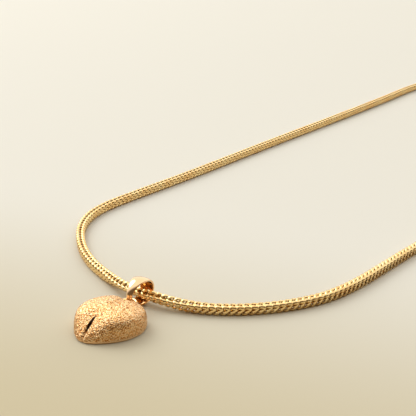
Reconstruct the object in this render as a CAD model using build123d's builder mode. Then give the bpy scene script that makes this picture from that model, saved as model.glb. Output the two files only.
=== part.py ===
from build123d import *
from math import cos, pi, radians, sin, tan
import os

# Pendant necklace, millimetres, +Z up. It lies on a flat surface at z = 0, undone at the clasp.
# The origin is on the surface, under the middle of the heart's back. +Y runs from the tip to the clasp.

os.makedirs("parts", exist_ok=True)

# ---- driving dimensions -----------------------------------------------------------------------
SHEET = 0.45            # wall of the heart's pressed shells
HEART_WIDTH = 12.9
HEART_TIP = -6.45       # y of the tip
HEART_TOP = 6.15        # y of the lobes' tops
HEART_CLEFT = 3.6       # y of the bottom of the cleft
HEART_MIDDLE = 0.6      # y of the crown
HEART_HEIGHT = 5.0
BACK_HEIGHT = 0.45      # thickness of the flat back plate
HEART_FLANK = (4.3, -3.85)   # a point on the flank's bow
HEART_WAIST = (6.3, 0.6)      # where the flank ends and the lobe starts
HEART_SHOULDER = (4.75, 5.1)  # a point on the lobe's outer side
HEART_LOBE = (1.9, 5.85)      # where the lobe turns in to the cleft
BOW_POINT = (-3.7, 3.1)       # y, z on the raked bow
CROWN_START, CROWN_TOP, CROWN_END = (-0.4, 4.92), 1.8, (4.0, 4.45)
STERN_POINT = (5.6, 3.0)      # y, z on the back of the lobes
FRONT_SHOULDER = (5.25, 3.25)  # x, z on the side of the front view
FRONT_FOOT = 0.6              # how far the front view's side starts outside the plan
DOME_RADIUS, DOME_LIFT = 8.3, 0.02

EYELET_Y, EYELET_Z = 6.3, 2.0
EYELET_RADIUS = 1.56    # to the middle of the wire
EYELET_WIRE = 0.3       # radius of the wire

BAIL_YAW = 12.0         # the bail hangs loosely, turned on its eyelet
BAIL_PIVOT = (-0.2, 6.65)
BAIL_LONG, BAIL_HIGH = 3.5, 2.6   # half the ellipse
BAIL_WALL = 0.45
BAIL_WIDE, BAIL_NECK = 1.65, 0.62   # half the width, wide end and neck

CHAIN_RADIUS = 0.9
CHAIN_ROUTE = [
    (3.2, 195.3, 1.15), (-4.4, 195.3, 1.15), (-12.0, 191.9, 0.9), (-17.0, 184.9, 0.9),
    (-19.3, 174.0, 0.9), (-20.6, 157.0, 0.9), (-24.0, 128.0, 0.9), (-27.8, 98.0, 0.9),
    (-31.0, 68.0, 0.9), (-33.5, 52.0, 0.9), (-35.0, 39.4, 0.9), (-32.3, 30.8, 0.9),
    (-26.2, 23.3, 0.9), (-19.2, 17.8, 0.9), (-11.6, 14.3, 0.9), (-4.5, 11.3, 1.87),
    (1.7, 11.0, 1.87), (9.2, 12.9, 0.9), (16.2, 16.7, 0.9), (22.2, 22.4, 0.9),
    (27.0, 29.6, 0.9), (29.4, 39.0, 0.9), (30.8, 53.0, 0.9), (34.3, 78.0, 0.9),
    (37.0, 108.0, 0.9), (40.6, 136.0, 0.9), (42.6, 157.0, 0.9), (42.2, 172.5, 0.9),
    (40.4, 183.2, 0.9), (36.4, 190.9, 0.9), (30.4, 195.3, 1.15), (23.8, 195.3, 1.15),
]

CAP_LENGTH, CAP_RADIUS, CAP_FLOOR = 3.2, 1.15, 0.8
LOOP_RADIUS, LOOP_WIRE = 1.2, 0.25
LOOP_SOLDER = 0.15      # the loop bites this far into the cap's floor
RING_RADIUS, RING_WIRE = 1.6, 0.28
CATCH_RADIUS, CATCH_WIRE = 2.0, 0.3
LINK_SIDE = 0.9         # from a bar's middle to the wire that passes its hole

CLASP_THICK = 2.0
CLASP_SLOT = 0.9        # the slot that holds the lever
LEVER_THICK = 0.7
CLASP_PIN = (3.2, -0.95)
PIN_RADIUS, PIN_PLAY = 0.28, 0.05
CLAW_CENTRE, CLAW_LONG, CLAW_WIDE = (4.6, 0), 3.6, 2.25   # the claw's outer oval, half sizes
EYE_CENTRE, EYE_LONG, EYE_WIDE = (5.7, 0.05), 1.75, 1.3   # the opening inside it
MOUTH_CENTRE, MOUTH_LONG, MOUTH_DEEP = (5.25, -1.7), 2.5, 2.2
TAIL_END, TAIL_LONG, TAIL_WIDE = (-0.4, 0), 2.3, 4        # where the tail is thinned
SLOT_CENTRE, SLOT_LONG, SLOT_DEEP = (3.3, -1.35), 2.6, 2.3
CLAW_ROUNDING = 0.35
LEVER_BOSS = 0.62
LEVER_OUTLINE = [(3.1, -0.5), (6.3, -1.05), (6.3, -1.85), (4.1, -1.95), (3.9, -2.5), (3.4, -2.5), (2.8, -1.3)]
SPRING_CENTRE, SPRING_THICK, SPRING_TALL = (2.35, -0.95), 0.12, 1.1


# ---- shared shapes ----------------------------------------------------------------------------
def finish(builder, label):
    """Names a finished piece and writes it as its own node."""
    builder.part.label = label
    export_step(builder.part, f"parts/{label}.step")


def wire_ring(centre, normal, across, radius, wire):
    """A round wire bent into a closed ring. across is a direction in the ring's plane."""
    start = Vector(*centre) + Vector(*across) * radius
    with BuildPart() as ring:
        with BuildSketch(Plane(origin=start, x_dir=across, z_dir=Vector(*normal).cross(Vector(*across)))):
            Circle(wire)
        revolve(axis=Axis(centre, normal), revolution_arc=360)
    return ring


def heart_face(inset):
    """The heart's plan: two bowed flanks from the tip, round lobes and a shallow cleft."""
    tip = HEART_TIP + 1.2 * inset
    slant = 0.7 * inset
    cleft = HEART_CLEFT - 1.4 * inset
    flank_point = (HEART_FLANK[0] - slant, HEART_FLANK[1] + slant)
    waist = (HEART_WAIST[0] - inset, HEART_WAIST[1])
    shoulder = (HEART_SHOULDER[0] - slant, HEART_SHOULDER[1] - 0.8 * inset)
    with BuildSketch() as plan:
        with BuildLine():
            flank = ThreePointArc((0, tip), flank_point, waist)
            lobe = ThreePointArc(flank @ 1, shoulder, (HEART_LOBE[0], HEART_LOBE[1] - inset))
            Line(lobe @ 1, (0, cleft))
            Line((0, cleft), (0, tip))
        make_face()
        mirror(about=Plane.YZ)
    return plan.sketch


def heart_solid(inset, floor):
    """The puffed heart: its plan cut by its side view and by its front view, from floor up."""
    top = HEART_HEIGHT - inset
    with BuildPart() as puffed:
        add(heart_face(inset))
        extrude(amount=HEART_HEIGHT)
        with BuildSketch(Plane.YZ.offset(-HEART_WIDTH)):
            with BuildLine():
                bow_point = (BOW_POINT[0], BOW_POINT[1] - inset)
                crown_start = (CROWN_START[0], CROWN_START[1] - inset)
                bow = ThreePointArc((HEART_TIP + inset, 0), bow_point, crown_start)
                crown = ThreePointArc(bow @ 1, (CROWN_TOP, top), (CROWN_END[0], CROWN_END[1] - inset))
                stern_point = (STERN_POINT[0], STERN_POINT[1] - inset)
                stern = ThreePointArc(crown @ 1, stern_point, (HEART_TOP + FRONT_FOOT / 2 - inset, 0))
                Line(stern @ 1, bow @ 0)
            make_face()
        extrude(amount=2 * HEART_WIDTH, mode=Mode.INTERSECT)
        with BuildSketch(Plane.XZ.offset(-HEART_WIDTH)):
            with BuildLine():
                foot = (HEART_WIDTH / 2 + FRONT_FOOT - inset, 0)
                side = ThreePointArc(foot, (FRONT_SHOULDER[0], FRONT_SHOULDER[1] - inset), (0, top))
                Line(side @ 1, (0, 0))
                Line((0, 0), side @ 0)
            make_face()
            mirror(about=Plane.YZ)
        extrude(amount=2 * HEART_WIDTH, mode=Mode.INTERSECT)
        with BuildSketch(Plane.XZ.offset(-HEART_MIDDLE)):
            with BuildLine():
                reach, rise = DOME_RADIUS - inset, top + DOME_LIFT
                brow = EllipticalCenterArc((0, 0), reach, rise, start_angle=0, arc_size=90)
                Line(brow @ 1, (0, 0))
                Line((0, 0), brow @ 0)
            make_face()
        revolve(axis=Axis((0, HEART_MIDDLE, 0), (0, 0, 1)), revolution_arc=360, mode=Mode.INTERSECT)
        split(bisect_by=Plane.XY.offset(floor), keep=Keep.TOP)
    return puffed


# ---- the pendant ------------------------------------------------------------------------------
with BuildPart() as heart_front:
    add(heart_solid(0, BACK_HEIGHT).part)
    add(heart_solid(SHEET, BACK_HEIGHT).part, mode=Mode.SUBTRACT)
finish(heart_front, "heart_front")

with BuildPart() as heart_back:
    add(heart_solid(0, 0).part)
    split(bisect_by=Plane.XY.offset(BACK_HEIGHT), keep=Keep.BOTTOM)
finish(heart_back, "heart_back")

heart_eyelet = wire_ring((0, EYELET_Y, EYELET_Z), (0, 0, 1), (0, 1, 0), EYELET_RADIUS, EYELET_WIRE)
with BuildPart() as heart_eyelet_trimmed:
    add(heart_eyelet.part)
    add(heart_solid(0, 0).part, mode=Mode.SUBTRACT)
finish(heart_eyelet_trimmed, "heart_eyelet")

# The bail's own frame: x along the chain, y away from the heart, turned by its yaw.
bail_frame = Plane(
    origin=(*BAIL_PIVOT, 0),
    x_dir=(cos(radians(BAIL_YAW)), sin(radians(BAIL_YAW)), 0),
    z_dir=(0, 0, 1),
)
bail_side = Plane(origin=bail_frame.origin, x_dir=bail_frame.y_dir, z_dir=bail_frame.x_dir)
with BuildPart() as bail:
    with BuildSketch(bail_side):
        with Locations((BAIL_LONG, BAIL_HIGH)):
            Ellipse(BAIL_LONG, BAIL_HIGH)
            Ellipse(BAIL_LONG - BAIL_WALL, BAIL_HIGH - BAIL_WALL, mode=Mode.SUBTRACT)
    extrude(amount=BAIL_WIDE, both=True)
    with BuildSketch(bail_frame):
        with BuildLine():
            edge = Polyline((0, -1), (BAIL_NECK, -1), (BAIL_NECK, 0.7))
            flare = Spline(edge @ 1, (BAIL_WIDE, 3.6), tangents=((0, 1), (0, 1)))
            Polyline(flare @ 1, (BAIL_WIDE, 8), (0, 8), (0, -1))
        make_face()
        mirror(about=Plane.YZ)
    extrude(amount=2 * BAIL_HIGH, mode=Mode.INTERSECT)
finish(bail, "bail")


# ---- the chain --------------------------------------------------------------------------------
def corner_radii(route):
    """Each corner is as round as its shorter run allows."""
    points = [Vector(*point) for point in route]
    radii = []
    for before, here, after in zip(points, points[1:], points[2:]):
        run_in = here - before
        run_out = after - here
        turn = radians(run_in.get_angle(run_out))
        radii.append(0.45 * min(run_in.length, run_out.length) / tan(turn / 2))
    return radii


chain_radii = corner_radii(CHAIN_ROUTE)
print("corner radii", [round(radius, 1) for radius in chain_radii])
with BuildPart() as chain:
    with BuildLine() as chain_line:
        FilletPolyline(*CHAIN_ROUTE, radius=chain_radii)
    with BuildSketch(Plane(origin=chain_line.line @ 0, z_dir=chain_line.line % 0)):
        Circle(CHAIN_RADIUS)
    sweep()
chain_length = chain_line.wires()[0].length
print("chain", round(chain_length, 2), "mm, volume", round(chain.part.volume, 2),
      "mm3, section x length", round(pi * CHAIN_RADIUS**2 * chain_length, 2))
finish(chain, "chain")


# ---- the ends ---------------------------------------------------------------------------------
end_y, end_z = CHAIN_ROUTE[0][1], CHAIN_ROUTE[0][2]
left_x, right_x = CHAIN_ROUTE[0][0], CHAIN_ROUTE[-1][0]
bore = CAP_LENGTH - CAP_FLOOR


def end_cap(chain_end, facing):
    """A cup over the chain's end. facing is the direction in x in which its floor looks."""
    with BuildPart() as cap:
        with BuildSketch(Plane(origin=(chain_end - facing * bore, end_y, end_z), z_dir=(facing, 0, 0))):
            Circle(CAP_RADIUS)
        extrude(amount=CAP_LENGTH)
        rims = cap.edges().filter_by(GeomType.CIRCLE).group_by(Axis.X)
        fillet(rims[-1] if facing > 0 else rims[0], radius=CAP_RADIUS / 4)
        with BuildSketch(Plane(origin=(chain_end - facing * bore, end_y, end_z), z_dir=(facing, 0, 0))):
            Circle(CHAIN_RADIUS)
        extrude(amount=bore, mode=Mode.SUBTRACT)
    return cap


def end_loop(chain_end, facing):
    """The flat wire loop on a cap's floor, and its middle in x."""
    middle = chain_end + facing * (CAP_FLOOR + LOOP_RADIUS - LOOP_SOLDER)
    return wire_ring((middle, end_y, end_z), (0, 0, 1), (facing, 0, 0), LOOP_RADIUS, LOOP_WIRE), middle


def ring_offset(radius, wire):
    """How far a standing ring's middle lies beyond the bar that it hangs on."""
    drop = radius + wire - end_z
    return (radius**2 - drop**2) ** 0.5 - LINK_SIDE


finish(end_cap(left_x, 1), "left_cap")
finish(end_cap(right_x, -1), "right_cap")
left_loop, left_loop_x = end_loop(left_x, 1)
finish(left_loop, "left_loop")
right_loop, right_loop_x = end_loop(right_x, -1)
finish(right_loop, "right_loop")

left_bar_x = left_loop_x + LOOP_RADIUS
ring_x = left_bar_x + ring_offset(RING_RADIUS, RING_WIRE)
clasp_ring = wire_ring(
    (ring_x, end_y, RING_RADIUS + RING_WIRE), (0, 1, 0), (0, 0, 1), RING_RADIUS, RING_WIRE
)
finish(clasp_ring, "clasp_ring")

right_bar_x = right_loop_x - LOOP_RADIUS
catch_x = right_bar_x - ring_offset(CATCH_RADIUS, CATCH_WIRE)
catch_ring = wire_ring(
    (catch_x, end_y, CATCH_RADIUS + CATCH_WIRE), (0, 1, 0), (0, 0, 1), CATCH_RADIUS, CATCH_WIRE
)
finish(catch_ring, "catch_ring")

# ---- the clasp, drawn from the middle of its tail hole, nose towards +X -------------------------
tail_bar_x = ring_x + ring_offset(RING_RADIUS, RING_WIRE)
clasp_x = tail_bar_x + LOOP_RADIUS
clasp_plane = Plane(origin=(clasp_x, end_y, end_z))
print("bars", round(left_bar_x, 3), round(tail_bar_x, 3), round(right_bar_x, 3), "rings", round(ring_x, 3),
      round(catch_x, 3), "clasp", round(clasp_x, 3))

with BuildPart() as clasp_body:
    with BuildSketch(clasp_plane):
        Circle(LOOP_RADIUS + LOOP_WIRE)
        with Locations(CLAW_CENTRE):
            Ellipse(CLAW_LONG, CLAW_WIDE)
    extrude(amount=CLASP_THICK / 2, both=True)
    fillet(clasp_body.edges().group_by(Axis.Z)[-1], radius=CLAW_ROUNDING)
    fillet(clasp_body.edges().group_by(Axis.Z)[0], radius=CLAW_ROUNDING)
    with BuildSketch(clasp_plane):
        Circle(LOOP_RADIUS - LOOP_WIRE)
        with Locations(EYE_CENTRE):
            Ellipse(EYE_LONG, EYE_WIDE)
        with Locations(MOUTH_CENTRE):
            Rectangle(MOUTH_LONG, MOUTH_DEEP)
    extrude(amount=CLASP_THICK, both=True, mode=Mode.SUBTRACT)
    # the tail is thinner than the claw, so the ring can turn on it
    with BuildSketch(clasp_plane.offset(LOOP_WIRE), clasp_plane.offset(-LOOP_WIRE - CLASP_THICK)):
        with Locations(TAIL_END):
            Rectangle(TAIL_LONG, TAIL_WIDE)
    extrude(amount=CLASP_THICK, mode=Mode.SUBTRACT)
    with BuildSketch(clasp_plane):
        with Locations(SLOT_CENTRE):
            Rectangle(SLOT_LONG, SLOT_DEEP)
    extrude(amount=CLASP_SLOT / 2, both=True, mode=Mode.SUBTRACT)
    with BuildSketch(clasp_plane):
        with Locations(CLASP_PIN):
            Circle(PIN_RADIUS)
    extrude(amount=CLASP_THICK, both=True, mode=Mode.SUBTRACT)
finish(clasp_body, "clasp_body")

with BuildPart() as clasp_pin:
    with BuildSketch(clasp_plane):
        with Locations(CLASP_PIN):
            Circle(PIN_RADIUS)
    extrude(amount=CLASP_THICK / 2, both=True)
finish(clasp_pin, "clasp_pin")

with BuildPart() as clasp_lever:
    with BuildSketch(clasp_plane):
        with Locations(CLASP_PIN):
            Circle(LEVER_BOSS)
        with BuildLine():
            Polyline(*LEVER_OUTLINE, close=True)
        make_face()
        with Locations(CLASP_PIN):
            Circle(PIN_RADIUS + PIN_PLAY, mode=Mode.SUBTRACT)
    extrude(amount=LEVER_THICK / 2, both=True)
finish(clasp_lever, "clasp_lever")

with BuildPart() as clasp_spring:
    with BuildSketch(clasp_plane):
        with Locations(SPRING_CENTRE):
            Rectangle(SPRING_THICK, SPRING_TALL)
    extrude(amount=LEVER_THICK / 2, both=True)
finish(clasp_spring, "clasp_spring")
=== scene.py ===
# %% [markdown]
# # A gold heart pendant on its chain
# The necklace lies on a pale table. The CAD model is loaded first: it fixes where every piece is,
# and every piece made here is placed by it. Lengths are in metres, so a millimetre is MM.

# %% Load the frame
from math import cos, pi, radians, sin

import bpy
import numpy as np
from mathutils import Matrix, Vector


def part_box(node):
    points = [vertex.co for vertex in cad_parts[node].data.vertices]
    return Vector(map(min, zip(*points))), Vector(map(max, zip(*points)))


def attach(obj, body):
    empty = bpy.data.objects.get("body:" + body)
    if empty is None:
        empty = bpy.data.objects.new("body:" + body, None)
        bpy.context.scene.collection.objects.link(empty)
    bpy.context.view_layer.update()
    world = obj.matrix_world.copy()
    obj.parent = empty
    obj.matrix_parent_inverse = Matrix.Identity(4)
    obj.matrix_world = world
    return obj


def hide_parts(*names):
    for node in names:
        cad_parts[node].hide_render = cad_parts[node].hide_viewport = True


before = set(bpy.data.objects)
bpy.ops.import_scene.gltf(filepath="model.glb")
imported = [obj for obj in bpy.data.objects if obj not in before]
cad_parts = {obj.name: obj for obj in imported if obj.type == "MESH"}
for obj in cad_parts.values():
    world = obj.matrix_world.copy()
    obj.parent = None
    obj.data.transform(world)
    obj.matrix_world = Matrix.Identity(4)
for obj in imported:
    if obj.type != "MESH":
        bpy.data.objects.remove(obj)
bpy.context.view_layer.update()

MM = 0.001


def deselect():
    """Loading leaves the CAD nodes selected, and an operator acts on all that is selected."""
    if bpy.context.mode != "OBJECT":
        bpy.ops.object.mode_set(mode="OBJECT")
    bpy.ops.object.select_all(action="DESELECT")


def only(piece):
    deselect()
    piece.select_set(True)
    bpy.context.view_layer.objects.active = piece
    return piece


# %% [markdown]
# ## Camera
# A long lens from a little above the table keeps the heart's shape true and lets the chain run
# away into the distance. The camera looks at a place on the table between the two legs.

# %% Camera
VIEW_TURN, VIEW_TILT = radians(34.2), radians(22.0)
AIM = Vector((-16.4, 55.6, 0)) * MM
DISTANCE = 218.6 * MM
LENS = 83.9

deselect()
toward_camera = Vector(
    (sin(VIEW_TURN) * cos(VIEW_TILT), -cos(VIEW_TURN) * cos(VIEW_TILT), sin(VIEW_TILT))
)
bpy.ops.object.camera_add(location=AIM + toward_camera * DISTANCE)
camera = bpy.context.object
camera.name = "camera"
camera.rotation_mode = "QUATERNION"
camera.rotation_quaternion = (-toward_camera).to_track_quat("-Z", "Y")
camera.data.lens = LENS
camera.data.sensor_width = 36
camera.data.clip_start = 5 * MM
camera.data.clip_end = 20
bpy.context.scene.camera = camera
print("camera at", tuple(round(value / MM, 1) for value in camera.location), "mm")

# %% [markdown]
# ## The chain's line
# A fine chain is limp, so it lies in the curves that it was dropped in. One smooth NURBS spline
# carries the whole of it, from the left end cap, round past the bail and back to the right cap.
# It rises in a low hump over the bail's wall, with two points at the top of the hump.

# %% The chain's line
ROUTE = [
    (3.2, 195.3, 1.15), (-4.4, 195.3, 1.15), (-12.0, 191.9, 0.9), (-17.0, 184.9, 0.9),
    (-19.3, 174.0, 0.9), (-20.6, 157.0, 0.9), (-24.0, 128.0, 0.9), (-27.8, 98.0, 0.9),
    (-31.0, 68.0, 0.9), (-33.5, 52.0, 0.9), (-35.0, 39.4, 0.9), (-32.3, 30.8, 0.9),
    (-26.2, 23.3, 0.9), (-19.2, 17.8, 0.9), (-11.6, 14.3, 0.9), (-4.5, 11.3, 1.87),
    (1.7, 11.0, 1.87), (9.2, 12.9, 0.9), (16.2, 16.7, 0.9), (22.2, 22.4, 0.9),
    (27.0, 29.6, 0.9), (29.4, 39.0, 0.9), (30.8, 53.0, 0.9), (34.3, 78.0, 0.9),
    (37.0, 108.0, 0.9), (40.6, 136.0, 0.9), (42.6, 157.0, 0.9), (42.2, 172.5, 0.9),
    (40.4, 183.2, 0.9), (36.4, 190.9, 0.9), (30.4, 195.3, 1.15), (23.8, 195.3, 1.15),
]


def smooth_line(name, points, steps):
    """The points that a NURBS spline makes of a route."""
    curve = bpy.data.curves.new(name, "CURVE")
    curve.dimensions = "3D"
    curve.resolution_u = steps
    spline = curve.splines.new("NURBS")
    spline.points.add(len(points) - 1)
    for control, place in zip(spline.points, points):
        control.co = (*(value * MM for value in place), 1)
    spline.order_u = 3
    spline.use_endpoint_u = True
    line = bpy.data.objects.new(name, curve)
    mesh = bpy.data.meshes.new_from_object(line)
    places = np.array([vertex.co[:] for vertex in mesh.vertices])
    bpy.data.objects.remove(line)
    bpy.data.curves.remove(curve)
    bpy.data.meshes.remove(mesh)
    return places


chain_line = smooth_line("chain_line", ROUTE, 40)
along = np.concatenate([[0], np.cumsum(np.linalg.norm(np.diff(chain_line, axis=0), axis=1))])
chain_length = along[-1]
print("chain", round(chain_length / MM, 1), "mm,", len(chain_line), "points")

# %% [markdown]
# ## One link
# Each link is an oval of thick wire, pinched at its waist and folded at both ends, so that the next
# link's waist passes through both eyes. Two sides of the chain show a row of small dark holes between
# two rails, and the other two show arrowheads. Only a quarter of the wire's path is written down, as
# up, across and forward in millimetres: the rest is its mirror image. The wire is swept round the path
# by code, because a link's shape has to be exact for the next one to pass through it. The outside is
# then filed flat and the corners cut, which makes it bright.

# %% One link
PITCH = 1.25 * MM
WIRE_THICK, WIRE_BROAD = 0.28 * MM, 0.43 * MM
FILED = 0.9 * MM
CUT = 1.13 * MM
WIRE_SIDES = 6
SKEW, LIFT, REACH = 0.5, 0.2, 0.7
QUARTER = [
    (0.28, 0.52, 0.3), (0.56, 0.64, 0.62), (0.69, 0.61, 1.0), (0.56, 0.44, 1.35), (0.34, 0.0, 1.65),
]
WAIST = 0.34


def link_path():
    """The wire's closed path as points (forward, across, up) about the link's waist."""
    side = QUARTER + [(up, -across, forward) for up, across, forward in QUARTER[-2::-1]]
    far = [(-up, across, forward) for up, across, forward in side[::-1]]
    path = [(0.0, WAIST, 0.0)] + side + [(0.0, -WAIST, 0.0)] + far
    leant = [
        (forward - SKEW * up, across, up + LIFT * (1 - abs(up) / REACH)) for up, across, forward in path
    ]
    return np.array(leant) * MM


def link_mesh():
    """The wire swept round that path: corners, and faces that join them."""
    path = link_path()
    count = len(path)
    ahead = np.roll(path, -1, axis=0) - np.roll(path, 1, axis=0)
    ahead /= np.linalg.norm(ahead, axis=1)[:, None]
    outward = path * (0, 1, 1)
    outward -= (outward * ahead).sum(axis=1)[:, None] * ahead
    outward /= np.linalg.norm(outward, axis=1)[:, None]
    sideways = np.cross(ahead, outward)
    turns = 2 * pi * np.arange(WIRE_SIDES) / WIRE_SIDES
    corners = (
        path[:, None]
        + WIRE_THICK * np.cos(turns)[None, :, None] * outward[:, None]
        + WIRE_BROAD * np.sin(turns)[None, :, None] * sideways[:, None]
    ).reshape(-1, 3)
    corners[:, 1:] = np.clip(corners[:, 1:], -FILED, FILED)
    reach = np.linalg.norm(corners[:, 1:], axis=1)
    corners[:, 1:] *= np.minimum(1, CUT / np.maximum(reach, CUT / 10))[:, None]
    faces = [
        (
            i * WIRE_SIDES + j,
            i * WIRE_SIDES + (j + 1) % WIRE_SIDES,
            (i + 1) % count * WIRE_SIDES + (j + 1) % WIRE_SIDES,
            (i + 1) % count * WIRE_SIDES + j,
        )
        for i in range(count)
        for j in range(WIRE_SIDES)
    ]
    return corners, faces


link_corners, link_faces = link_mesh()
print("a link has", len(link_faces), "faces")

# %% [markdown]
# ## All the links
# The links follow the line a pitch apart, from the right cap to the left, with their holes up. Where
# the chain comes out of the bail it is twisted over for a few links, and then it settles again.

# %% All the links
ROLL = [(0.0, 0), (0.48, 0), (0.497, -45), (0.512, -45), (0.54, 0), (1.0, 0)]
LINK_LENGTH = 1.85 * MM


def at_length(distance):
    return np.array([np.interp(distance, along, chain_line[:, axis]) for axis in range(3)])


def link_frame(distance):
    """Where a link's waist lies, and its three directions: forward, across and up."""
    here = at_length(distance)
    forward = at_length(distance - LINK_LENGTH) - here
    forward /= np.linalg.norm(forward)
    across = np.cross((0, 0, 1), forward)
    across /= np.linalg.norm(across)
    up = np.cross(forward, across)
    roll = radians(np.interp(distance / chain_length, *zip(*ROLL)))
    side, top = cos(roll) * across + sin(roll) * up, cos(roll) * up - sin(roll) * across
    return here, np.array([forward, side, top])


link_count = int((chain_length - LINK_LENGTH) / PITCH) + 1
corners, faces = [], []
for number in range(link_count):
    place, turn = link_frame(chain_length - number * PITCH)
    corners.append(place + link_corners @ turn)
    first = number * len(link_corners)
    faces += [tuple(first + corner for corner in face) for face in link_faces]
chain_data = bpy.data.meshes.new("chain_links")
chain_data.from_pydata(np.concatenate(corners).tolist(), [], faces)
chain_data.update()
chain_links = bpy.data.objects.new("chain_links", chain_data)
bpy.context.collection.objects.link(chain_links)
only(chain_links)
bpy.ops.object.mode_set(mode="EDIT")
bpy.ops.mesh.select_all(action="SELECT")
bpy.ops.mesh.normals_make_consistent(inside=False)
bpy.ops.object.mode_set(mode="OBJECT")
bpy.ops.object.shade_smooth_by_angle(angle=radians(50))
print(link_count, "links,", len(faces), "faces")

# %% [markdown]
# ## Finishes
# Gold is all reflection: its colour sits in the metal's base colour, and its finish in the roughness
# and the fine relief. Polished gold still has faint hairlines from the buffing wheel. The heart is
# frosted with a diamond tool, which leaves thousands of tiny bright and dark pits. Its fold is a slit
# too deep for the tool. The shade in that slit is painted: the base colour turns near black where the
# mesh's slit_shade attribute says.

# %% Finishes


def new_material(name):
    material = bpy.data.materials.new(name)
    material.use_nodes = True
    nodes, links = material.node_tree.nodes, material.node_tree.links
    shader = nodes["Principled BSDF"]
    shader.inputs["Metallic"].default_value = 1.0
    place = nodes.new("ShaderNodeTexCoord").outputs["Object"]
    return material, nodes, links, shader, place


def noise(nodes, links, place, scale, detail):
    node = nodes.new("ShaderNodeTexNoise")
    node.inputs["Scale"].default_value = scale
    node.inputs["Detail"].default_value = detail
    links.new(place, node.inputs["Vector"])
    return node.outputs["Fac"]


def colour_ramp(nodes, links, factor, stops):
    node = nodes.new("ShaderNodeValToRGB")
    ramp = node.color_ramp
    while len(ramp.elements) < len(stops):
        ramp.elements.new(0.5)
    for element, (position, colour) in zip(ramp.elements, stops):
        element.position = position
        element.color = (*colour, 1)
    links.new(factor, node.inputs["Fac"])
    return node.outputs["Color"]


def number_ramp(nodes, links, factor, low, high):
    node = nodes.new("ShaderNodeMapRange")
    node.inputs["To Min"].default_value = low
    node.inputs["To Max"].default_value = high
    links.new(factor, node.inputs["Value"])
    return node.outputs["Result"]


def relief(nodes, links, height, strength, depth, shader):
    node = nodes.new("ShaderNodeBump")
    node.inputs["Strength"].default_value = strength
    node.inputs["Distance"].default_value = depth
    links.new(height, node.inputs["Height"])
    links.new(node.outputs["Normal"], shader.inputs["Normal"])


DRIFT_SCALE, HAIRLINE_SCALE = 260, 2200


def polished(name, pale, deep, roughness):
    """Buffed metal: a faint drift of tone, and hairlines too fine to see one by one."""
    material, nodes, links, shader, place = new_material(name)
    drift = noise(nodes, links, place, DRIFT_SCALE, 3)
    links.new(colour_ramp(nodes, links, drift, [(0.3, deep), (0.7, pale)]), shader.inputs["Base Color"])
    hairlines = noise(nodes, links, place, HAIRLINE_SCALE, 4)
    wear = number_ramp(nodes, links, hairlines, roughness * 0.7, roughness * 1.4)
    links.new(wear, shader.inputs["Roughness"])
    relief(nodes, links, hairlines, 0.12, 0.02 * MM, shader)
    return material


PIT_SCALE, GRAIN_SCALE = 5200, 3400
FROST_TONES = [(0.36, (0.42, 0.15, 0.03)), (0.46, (0.92, 0.5, 0.19)), (0.6, (1.0, 0.73, 0.43))]
# painted shade: the near-black colour laid into the deep part of the heart's fold
SLIT_SHADE_TONE = (0.035, 0.013, 0.003, 1)


def frosted(name):
    """Diamond-frosted gold: cells of pits at two sizes, each catching the light its own way."""
    material, nodes, links, shader, place = new_material(name)
    pits = nodes.new("ShaderNodeTexVoronoi")
    pits.inputs["Scale"].default_value = PIT_SCALE
    links.new(place, pits.inputs["Vector"])
    grain = noise(nodes, links, place, GRAIN_SCALE, 4)
    # painted shade: where the slit_shade attribute is 1 the base colour turns to the painted dark tone
    slit_shade = nodes.new("ShaderNodeAttribute")
    slit_shade.attribute_name = "slit_shade"
    shaded = nodes.new("ShaderNodeMixRGB")
    shaded.inputs["Color2"].default_value = SLIT_SHADE_TONE
    links.new(slit_shade.outputs["Fac"], shaded.inputs["Fac"])
    links.new(colour_ramp(nodes, links, grain, FROST_TONES), shaded.inputs["Color1"])
    links.new(shaded.outputs["Color"], shader.inputs["Base Color"])
    links.new(number_ramp(nodes, links, grain, 0.12, 0.3), shader.inputs["Roughness"])
    mixed = nodes.new("ShaderNodeMath")
    mixed.operation = "ADD"
    links.new(pits.outputs["Distance"], mixed.inputs[0])
    links.new(grain, mixed.inputs[1])
    relief(nodes, links, mixed.outputs[0], 0.85, 0.1 * MM, shader)
    return material


chain_gold = polished("chain_gold", (1.0, 0.77, 0.39), (0.95, 0.63, 0.26), 0.17)
rose_gold = polished("polished_rose_gold", (1.0, 0.72, 0.44), (0.96, 0.6, 0.32), 0.12)
frosted_gold = frosted("frosted_gold")
spring_steel = polished("spring_steel", (0.6, 0.6, 0.6), (0.5, 0.5, 0.5), 0.3)
print("finishes", [item.name for item in (chain_gold, rose_gold, frosted_gold, spring_steel)])


def give(piece, material):
    piece.data.materials.clear()
    piece.data.materials.append(material)


give(chain_links, chain_gold)
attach(chain_links, "chain")
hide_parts("chain")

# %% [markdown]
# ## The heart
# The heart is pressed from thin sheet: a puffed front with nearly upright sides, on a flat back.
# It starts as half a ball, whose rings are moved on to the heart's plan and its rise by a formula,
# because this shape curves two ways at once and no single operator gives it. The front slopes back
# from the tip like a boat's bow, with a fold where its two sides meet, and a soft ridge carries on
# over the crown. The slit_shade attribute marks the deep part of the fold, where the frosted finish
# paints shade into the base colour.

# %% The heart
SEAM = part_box("heart_back")[1].z
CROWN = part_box("heart_front")[1].z - SEAM
MIDDLE_Y, TIP_Y = 0.4 * MM, -6.45 * MM
SLIM, LEAN = 0.89, 0.075
SEGMENTS, RINGS, DRAWN_TO_TIP = 192, 116, 0.5
SIDE_POWER, BOW_POWER, BACK_POWER = 0.48, 0.98, 0.12
BOW_SPREAD, BACK_START, BACK_RUN = 0.65, 1.4, 1.4
RIDGE, RIDGE_SPREAD = 0.85 * MM, 2.0 * MM
VALLEY, VALLEY_SPREAD, VALLEY_START, VALLEY_RUN = 0.9 * MM, 1.2 * MM, 2.0, 3.5
FOLD, FOLD_SPREAD, FOLD_END_Y = 0.8 * MM, 0.26 * MM, -2.6 * MM
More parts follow.
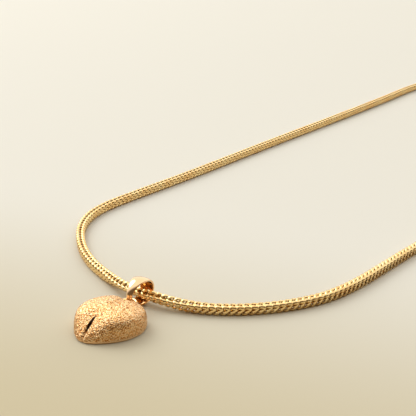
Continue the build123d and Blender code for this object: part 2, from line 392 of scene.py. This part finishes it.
FOLD_TOP, FOLD_FADE = 3.9 * MM, 1.6 * MM
# where the painted shade in the fold runs, how wide it is and how soft its edge is
SLIT_SHADE_LOW, SLIT_SHADE_HIGH, SLIT_SHADE_WIDTH, SLIT_SHADE_EDGE = 1.3 * MM, 4.0 * MM, 0.8 * MM, 0.12 * MM
PLAN = [
    (0.0, 6.8), (0.31, 6.45), (0.66, 6.15), (0.95, 6.2), (1.35, 6.55), (1.69, 6.85), (2.0, 6.9),
    (2.3, 6.75), (2.6, 6.45), (2.85, 5.75), (pi, 5.0),
]


def smooth_plan():
    """The plan's distance from its middle at every angle, from 0 at the tip to pi at the cleft."""
    angles = np.linspace(0, pi, 400)
    radii = np.interp(angles, *zip(*PLAN))
    for _ in range(300):
        radii[1:-1] = (radii[:-2] + 2 * radii[1:-1] + radii[2:]) / 4
    return angles, radii * MM


def heart_place(x, y, z):
    """Where a corner of the half ball goes on the heart."""
    rise = np.arctan2(z, max((x * x + y * y) ** 0.5, 1e-9))
    swing = np.arctan2(x, -y)
    angle = swing - DRAWN_TO_TIP * sin(swing)
    reach = np.interp(abs(angle), *plan)
    bow = np.exp(-((angle / BOW_SPREAD) ** 2))
    back = np.clip((abs(angle) - BACK_START) / BACK_RUN, 0, 1)
    power = SIDE_POWER + BOW_POWER * bow + BACK_POWER * back
    out, lift = cos(rise) ** power, sin(rise) ** power
    px, py = SLIM * out * reach * sin(angle), MIDDLE_Y - out * reach * cos(angle)
    height = SEAM + (CROWN - RIDGE) * lift
    height += RIDGE * np.exp(-abs(px) / RIDGE_SPREAD) * lift
    valley = np.exp(-((px / VALLEY_SPREAD) ** 2)) * np.clip((py / MM - VALLEY_START) / VALLEY_RUN, 0, 1)
    height -= VALLEY * valley * lift
    fold = np.exp(-abs(px) / FOLD_SPREAD) * np.clip((FOLD_TOP - height) / FOLD_FADE, 0, 1)
    fold *= (0.4 + 0.6 * np.clip((height - SEAM) / MM, 0, 1)) * (py < FOLD_END_Y)
    px += LEAN * (py - TIP_Y)
    return px, py + FOLD * fold, height


def slit_shade_share(x, y, z):
    """How much painted shade the fold gets at a place: 1 deep in the fold, 0 outside it."""
    if y >= FOLD_END_Y:
        return 0.0
    share = np.clip((z - SLIT_SHADE_LOW) / (SLIT_SHADE_HIGH - SLIT_SHADE_LOW), 0, 1)
    half_width = SLIT_SHADE_WIDTH / 2 * sin(pi * share)
    return float(np.clip((half_width - abs(x - LEAN * (y - TIP_Y))) / SLIT_SHADE_EDGE, 0, 1))


plan = smooth_plan()
deselect()
bpy.ops.mesh.primitive_uv_sphere_add(segments=SEGMENTS, ring_count=RINGS, radius=1)
heart = bpy.context.object
heart.name = "heart_shell"
bpy.ops.object.mode_set(mode="EDIT")
bpy.ops.mesh.select_all(action="SELECT")
bpy.ops.mesh.bisect(plane_co=(0, 0, 0), plane_no=(0, 0, 1), clear_inner=True, use_fill=False)
bpy.ops.object.mode_set(mode="OBJECT")
for vertex in heart.data.vertices:
    vertex.co = heart_place(*vertex.co)
heart.data.update()
# painted shade: each corner's share of the dark fold colour is stored on the mesh
slit_shade = heart.data.attributes.new("slit_shade", "FLOAT", "POINT")
for vertex, shade in zip(heart.data.vertices, slit_shade.data):
    shade.value = slit_shade_share(*vertex.co)
only(heart)
bpy.ops.object.shade_smooth()
print("heart", [round(value / MM, 2) for value in heart.dimensions], len(heart.data.polygons), "faces")

# %% [markdown]
# The frosting is real relief as well as a finish. Two procedural textures push the skin in and out
# by a few hundredths of a millimetre, after one subdivision has made the mesh fine enough.

# %% Frosting
FROSTING = (("pits", "STUCCI", 0.24, 0.07), ("grain", "CLOUDS", 0.12, 0.07))

finer = heart.modifiers.new("finer", "SUBSURF")
finer.levels = finer.render_levels = 1
for label, kind, size, strength in FROSTING:
    texture = bpy.data.textures.new(label, kind)
    texture.noise_scale = size * MM
    push = heart.modifiers.new(label, "DISPLACE")
    push.texture = texture
    push.texture_coords = "LOCAL"
    push.strength = strength * MM
    push.mid_level = 0.5
only(heart)
for modifier in list(heart.modifiers):
    bpy.ops.object.modifier_apply(modifier=modifier.name)
give(heart, frosted_gold)
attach(heart, "heart")
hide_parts("heart_front")
print("frosted heart", len(heart.data.polygons), "faces")

# %% [markdown]
# ## The back plate
# A flat plate closes the heart. It is a disc whose rim is moved on to the same plan, a hair inside
# the front's edge, with a small bevel where it was polished.

# %% The back plate
PLATE_SHARE, PLATE_BEVEL = 0.985, 0.1 * MM

deselect()
bpy.ops.mesh.primitive_cylinder_add(vertices=SEGMENTS, radius=1, depth=SEAM, location=(0, 0, SEAM / 2))
plate = bpy.context.object
plate.name = "heart_plate"
bpy.ops.object.transform_apply(location=True, rotation=False, scale=False)
for vertex in plate.data.vertices:
    px, py, _ = heart_place(vertex.co.x, vertex.co.y, 0)
    vertex.co = (px * PLATE_SHARE, MIDDLE_Y + (py - MIDDLE_Y) * PLATE_SHARE, vertex.co.z)
only(plate)
edge = plate.modifiers.new("edge", "BEVEL")
edge.width = PLATE_BEVEL
edge.segments = 3
edge.limit_method = "ANGLE"
bpy.ops.object.modifier_apply(modifier="edge")
bpy.ops.object.shade_smooth_by_angle(angle=radians(40))
give(plate, rose_gold)
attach(plate, "heart")
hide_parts("heart_back")
print("plate", [round(value / MM, 2) for value in plate.dimensions])

# %% [markdown]
# ## The bail
# The bail is a band that is bent into an oval loop: broad where the chain runs through, narrow at
# the neck where it holds the eyelet. It starts as an open cylinder lying along the chain. Its rings
# are moved on to the oval and drawn in at the neck, and the middle ring stands a little proud, which
# crowns the band. The solidify modifier gives the thickness and the bevel softens the rims.

# %% The bail
BAIL_PIVOT = Vector((-0.2, 6.65, 0)) * MM
BAIL_YAW = radians(6)
BAIL_LONG, BAIL_HIGH = 3.4 * MM, 2.6 * MM
BAIL_WIDE, BAIL_NECK, NECK_RISE = 1.5 * MM, 0.62 * MM, 0.25 * MM
NECK_END, NECK_RUN = 0.7, 3.8
RINGS_ACROSS = (-0.75, -0.5, -0.25, 0.25, 0.5, 0.75)
BAIL_CROWN, BAIL_WALL, BAIL_BEVEL = 0.28 * MM, 0.36 * MM, 0.1 * MM

deselect()
bpy.ops.mesh.primitive_cylinder_add(vertices=72, radius=1, depth=2, end_fill_type="NOTHING",
                                    rotation=(0, pi / 2, 0))
bail = bpy.context.object
bail.name = "bail_band"
bpy.ops.object.transform_apply(location=False, rotation=True, scale=False)
bpy.ops.object.mode_set(mode="EDIT")
bpy.ops.mesh.select_all(action="SELECT")
bpy.ops.mesh.bisect(plane_co=(0, 0, 0), plane_no=(1, 0, 0))
for place in RINGS_ACROSS:
    bpy.ops.mesh.select_all(action="SELECT")
    bpy.ops.mesh.bisect(plane_co=(place, 0, 0), plane_no=(1, 0, 0))
bpy.ops.object.mode_set(mode="OBJECT")
for vertex in bail.data.vertices:
    side, y, z = vertex.co
    y, z = y / (y * y + z * z) ** 0.5, z / (y * y + z * z) ** 0.5
    far = BAIL_LONG * (1 + y)
    share = np.clip((far / MM - NECK_END) / NECK_RUN, 0, 1)
    neck = BAIL_NECK + NECK_RISE * max(z, 0)
    wide = neck + (BAIL_WIDE - neck) * share * share * (3 - 2 * share)
    crown = BAIL_CROWN * side * side
    vertex.co = (
        side * wide,
        BAIL_LONG + (BAIL_LONG - crown) * y,
        BAIL_HIGH + (BAIL_HIGH - crown) * z,
    )
bail.data.update()
only(bail)
bpy.ops.object.mode_set(mode="EDIT")
bpy.ops.mesh.select_all(action="SELECT")
bpy.ops.mesh.normals_make_consistent(inside=False)
bpy.ops.object.mode_set(mode="OBJECT")
wall = bail.modifiers.new("wall", "SOLIDIFY")
wall.thickness = BAIL_WALL
wall.offset = -1
soft = bail.modifiers.new("soft", "BEVEL")
soft.width = BAIL_BEVEL
soft.segments = 3
soft.limit_method = "ANGLE"
soft.angle_limit = radians(50)
round_off = bail.modifiers.new("round_off", "SUBSURF")
round_off.levels = round_off.render_levels = 1
for modifier in list(bail.modifiers):
    bpy.ops.object.modifier_apply(modifier=modifier.name)
bpy.ops.transform.rotate(value=-BAIL_YAW, orient_axis="Z", center_override=(0, 0, 0))
bpy.ops.transform.translate(value=BAIL_PIVOT)
bpy.ops.object.transform_apply(location=True, rotation=True, scale=True)
bpy.ops.object.shade_smooth()
give(bail, rose_gold)
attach(bail, "bail")
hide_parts("bail")
low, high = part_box("bail")
corner = np.array([vertex.co[:] for vertex in bail.data.vertices])
print("CAD bail", [round(value / MM, 2) for value in (*low, *high)])
print("bail band", (corner.min(axis=0) / MM).round(2), (corner.max(axis=0) / MM).round(2))

# %% [markdown]
# ## The other pieces
# Caps, rings, clasp and eyelet keep the CAD's shapes and take a polished finish.

# %% Carried-over pieces
CARRIED_OVER = {
    "heart_eyelet": rose_gold,
    "left_cap": chain_gold, "right_cap": chain_gold, "left_loop": chain_gold, "right_loop": chain_gold,
    "clasp_ring": chain_gold, "catch_ring": chain_gold, "clasp_body": chain_gold,
    "clasp_lever": chain_gold, "clasp_pin": chain_gold, "clasp_spring": spring_steel,
}

for name, material in CARRIED_OVER.items():
    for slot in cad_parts[name].material_slots:
        slot.material = material
    print(name, "in", material.name)

# %% [markdown]
# ## Table and light
# The table is cream, with painted shade that makes it darker and warmer towards the front. Gold shows
# what stands round it, so the room matters more than the lamps: it is bright above and behind the
# necklace, and dim behind the camera, which gives the dark glints. One soft window on the left lays a
# faint shadow.

# %% Table and light
# painted shade: the table's colour runs from a darker, warmer front to a pale back, standing in for
# light that falls off towards the front
FRONT_SHADE_TONE, BACK_LIT_TONE = (0.66, 0.585, 0.39), (0.87, 0.86, 0.79)
SHADE_ALONG, SHADE_FROM, SHADE_TO = (-0.2, 0.98, 0), -35 * MM, 55 * MM

deselect()
bpy.ops.mesh.primitive_plane_add(size=6, location=(0, 0.1, 0))
table = bpy.context.object
table.name = "table"
bpy.ops.object.transform_apply(location=True, rotation=False, scale=False)
cream, nodes, links, shader, place = new_material("cream_table_painted_shade")
shader.inputs["Metallic"].default_value = 0.0
depth = nodes.new("ShaderNodeVectorMath")
depth.operation = "DOT_PRODUCT"
depth.inputs[1].default_value = SHADE_ALONG
links.new(place, depth.inputs[0])
tone = nodes.new("ShaderNodeMapRange")
tone.interpolation_type = "SMOOTHSTEP"
tone.inputs["From Min"].default_value = SHADE_FROM
tone.inputs["From Max"].default_value = SHADE_TO
links.new(depth.outputs["Value"], tone.inputs["Value"])
# painted shade: this ramp darkens and warms the table towards the front
cream_with_painted_shade = colour_ramp(nodes, links, tone.outputs["Result"], [(0.0, FRONT_SHADE_TONE), (1.0, BACK_LIT_TONE)])
links.new(cream_with_painted_shade, shader.inputs["Base Color"])
shader.inputs["Roughness"].default_value = 0.75
give(table, cream)


def soft_light(name, place, size, power, colour):
    bpy.ops.object.light_add(type="AREA", location=place)
    light = bpy.context.object
    light.name = name
    light.data.shape = "DISK"
    light.data.size = size
    light.data.energy = power
    light.data.color = colour
    light.rotation_euler = (-Vector(place)).to_track_quat("-Z", "Y").to_euler()
    print(name, power, "W")


soft_light("window", (-1.0, 0.3, 0.8), 0.9, 6.0, (1, 0.98, 0.94))

BRIGHT_SIDE = Vector((-0.5, 0.6, 0.6)).normalized()
DIM_WALLS, BRIGHT_WALLS, ROOM_STRENGTH = (0.12, 0.088, 0.055), (1.0, 0.965, 0.9), 1.2
world = bpy.context.scene.world or bpy.data.worlds.new("room")
bpy.context.scene.world = world
world.use_nodes = True
nodes, links = world.node_tree.nodes, world.node_tree.links
background = nodes["Background"]
background.inputs["Strength"].default_value = ROOM_STRENGTH
toward = nodes.new("ShaderNodeVectorMath")
toward.operation = "DOT_PRODUCT"
toward.inputs[1].default_value = BRIGHT_SIDE
links.new(nodes.new("ShaderNodeTexCoord").outputs["Generated"], toward.inputs[0])
room = nodes.new("ShaderNodeMapRange")
room.interpolation_type = "SMOOTHSTEP"
room.inputs["From Min"].default_value = 0.12
room.inputs["From Max"].default_value = 0.58
links.new(toward.outputs["Value"], room.inputs["Value"])
walls = colour_ramp(nodes, links, room.outputs["Result"], [(0.0, DIM_WALLS), (1.0, BRIGHT_WALLS)])
links.new(walls, background.inputs["Color"])
bpy.context.scene.view_settings.view_transform = "Standard"
